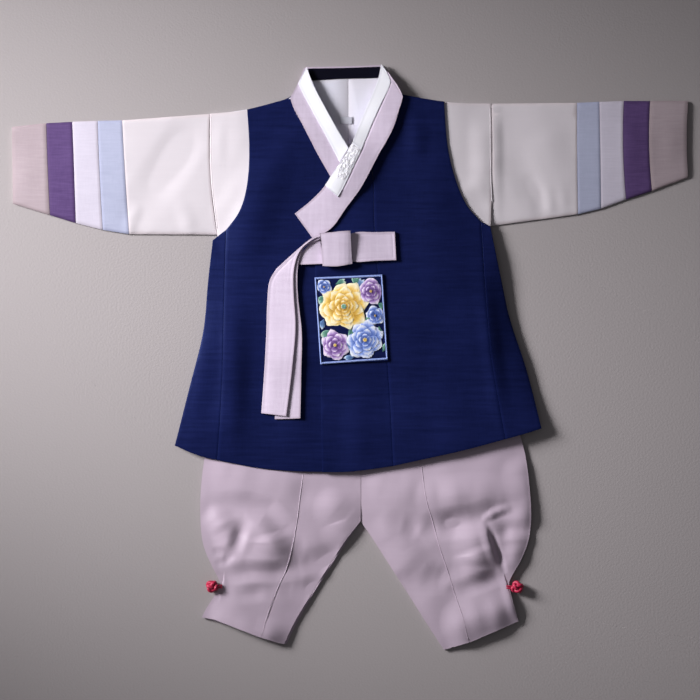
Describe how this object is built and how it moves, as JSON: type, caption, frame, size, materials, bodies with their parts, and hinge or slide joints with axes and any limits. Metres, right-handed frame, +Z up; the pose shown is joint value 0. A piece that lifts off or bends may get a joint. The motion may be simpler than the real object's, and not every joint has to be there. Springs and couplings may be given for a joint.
{
  "type": "child's hanbok set",
  "caption": "Small child's hanbok laid flat: navy vest with tied ribbons and a square patch, jacket with banded sleeves, and trousers held at the ankles by knotted buttons.",
  "frame": {"origin": "middle of the set's outline, on the surface it lies on", "axes": "+X towards the wearer's left sleeve, +Y towards the collar, +Z up from the surface"},
  "size_m": [0.7298, 0.632, 0.0254],
  "materials": {
    "navy_silk": "slubby woven silk with a soft sheen",
    "lilac_silk": "fine ribbed silk",
    "white_silk": "smooth white silk",
    "ivory_satin": "soft satin",
    "pale_blue_silk": "fine cross weave",
    "pale_lilac_silk": "fine cross weave",
    "purple_silk": "fine cross weave",
    "taupe_silk": "fine cross weave",
    "mauve_satin": "soft satin",
    "red_cord": "knotted round cord",
    "blue_piping": "thin woven border"
  },
  "bodies": {
    "root": {"button_left": "red_cord", "button_loop_left": "red_cord", "button_loop_right": "red_cord", "button_right": "red_cord", "collar_back": "lilac_silk", "collar_over": "lilac_silk", "collar_under": "lilac_silk", "jacket_back_left": "white_silk", "jacket_back_right": "white_silk", "jacket_front_left": "ivory_satin", "jacket_front_right": "ivory_satin", "neck_facing": "navy_silk", "neck_label": "white_silk", "patch_border": "blue_piping", "patch_ground": "navy_silk", "sleeve_left_blue": "pale_blue_silk", "sleeve_left_cuff": "taupe_silk", "sleeve_left_lilac": "pale_lilac_silk", "sleeve_left_purple": "purple_silk", "sleeve_left_upper": "ivory_satin", "sleeve_right_blue": "pale_blue_silk", "sleeve_right_cuff": "taupe_silk", "sleeve_right_lilac": "pale_lilac_silk", "sleeve_right_purple": "purple_silk", "sleeve_right_upper": "ivory_satin", "strip_end": "white_silk", "strip_over": "white_silk", "strip_under": "white_silk", "tie_inner": "lilac_silk", "tie_knot": "lilac_silk", "tie_loop": "lilac_silk", "tie_tail_under": "lilac_silk", "tie_tail_upper": "lilac_silk", "trousers_back_left": "mauve_satin", "trousers_back_right": "mauve_satin", "trousers_front_inner_left": "mauve_satin", "trousers_front_inner_right": "mauve_satin", "trousers_front_outer_left": "mauve_satin", "trousers_front_outer_right": "mauve_satin", "vest_back_left": "navy_silk", "vest_back_right": "navy_silk", "vest_front_left": "navy_silk", "vest_front_right": "navy_silk", "vest_gore_left": "navy_silk", "vest_gore_right": "navy_silk", "vest_overlap": "navy_silk", "waistband_back": "mauve_satin", "waistband_front": "mauve_satin"}
  },
  "joints": []
}
